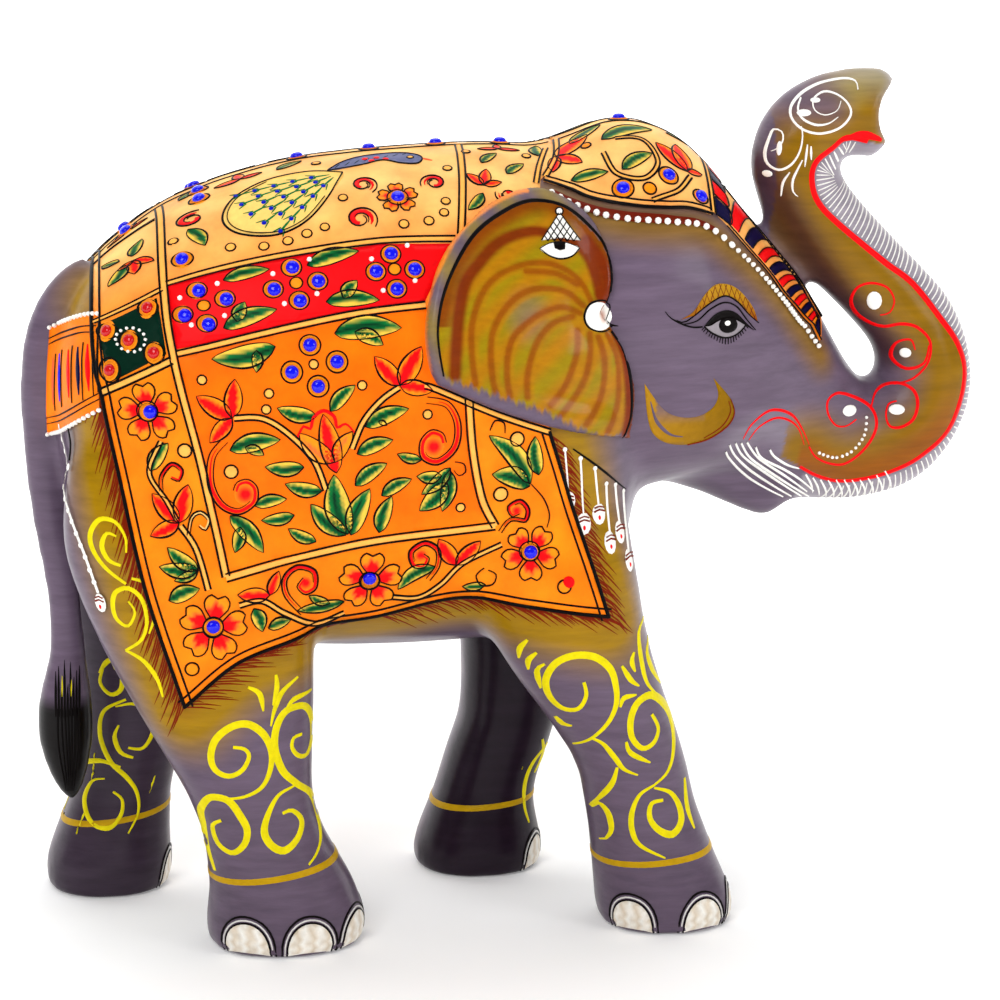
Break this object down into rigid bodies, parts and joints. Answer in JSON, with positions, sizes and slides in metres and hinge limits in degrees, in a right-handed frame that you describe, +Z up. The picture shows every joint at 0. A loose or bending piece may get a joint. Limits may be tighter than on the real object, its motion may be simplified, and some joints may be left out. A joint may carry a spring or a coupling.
{
  "type": "elephant figurine",
  "caption": "Standing carved wooden elephant with raised trunk, striding legs, raised gold and orange saddle cloth and head cap, painted ornament and set blue glass stones",
  "frame": {"origin": "on the table, at the middle of the bottom of the elephant's box", "axes": "+X forward along the elephant, from tail to trunk; +Y to its left; +Z up"},
  "size_m": [0.2388, 0.099, 0.2082],
  "materials": {
    "painted_wood": "lilac grey paint brushed on carved wood under gloss lacquer",
    "ear_paint": "olive and brown striped paint on carved wood under gloss lacquer",
    "peg_wood": "bare turned wood",
    "gold_gesso": "raised gesso painted in gold and orange with a satin shine",
    "blue_glass": "foil-backed flat-back glass stone"
  },
  "bodies": {
    "root": {"torso": "painted_wood", "head": "painted_wood", "trunk": "painted_wood", "leg_rear_right": "painted_wood", "leg_rear_left": "painted_wood", "leg_front_right": "painted_wood", "leg_front_left": "painted_wood", "tail": "painted_wood", "ear_right": "ear_paint", "ear_left": "ear_paint", "leg_rear_right_peg": "peg_wood", "leg_rear_left_peg": "peg_wood", "leg_front_right_peg": "peg_wood", "leg_front_left_peg": "peg_wood", "neck_peg": "peg_wood", "trunk_peg": "peg_wood", "tail_peg": "peg_wood", "saddle_cloth": "gold_gesso", "head_cap": "gold_gesso", "forehead_strip": "gold_gesso", "rump_panel_right": "gold_gesso", "rump_panel_left": "gold_gesso", "band_stone_right_1": "blue_glass", "band_stone_right_2": "blue_glass", "band_stone_right_3": "blue_glass", "band_stone_right_4": "blue_glass", "band_stone_right_5": "blue_glass", "band_stone_right_6": "blue_glass", "band_stone_right_7": "blue_glass", "band_stone_right_8": "blue_glass", "band_stone_right_9": "blue_glass", "band_stone_right_10": "blue_glass", "band_stone_right_11": "blue_glass", "band_stone_right_12": "blue_glass", "band_stone_left_1": "blue_glass", "band_stone_left_2": "blue_glass", "band_stone_left_3": "blue_glass", "band_stone_left_4": "blue_glass", "band_stone_left_5": "blue_glass", "band_stone_left_6": "blue_glass", "band_stone_left_7": "blue_glass", "band_stone_left_8": "blue_glass", "band_stone_left_9": "blue_glass", "band_stone_left_10": "blue_glass", "band_stone_left_11": "blue_glass", "band_stone_left_12": "blue_glass", "border_stone_right_1": "blue_glass", "border_stone_right_2": "blue_glass", "border_stone_right_3": "blue_glass", "border_stone_right_4": "blue_glass", "border_stone_left_1": "blue_glass", "border_stone_left_2": "blue_glass", "border_stone_left_3": "blue_glass", "border_stone_left_4": "blue_glass"}
  },
  "joints": []
}
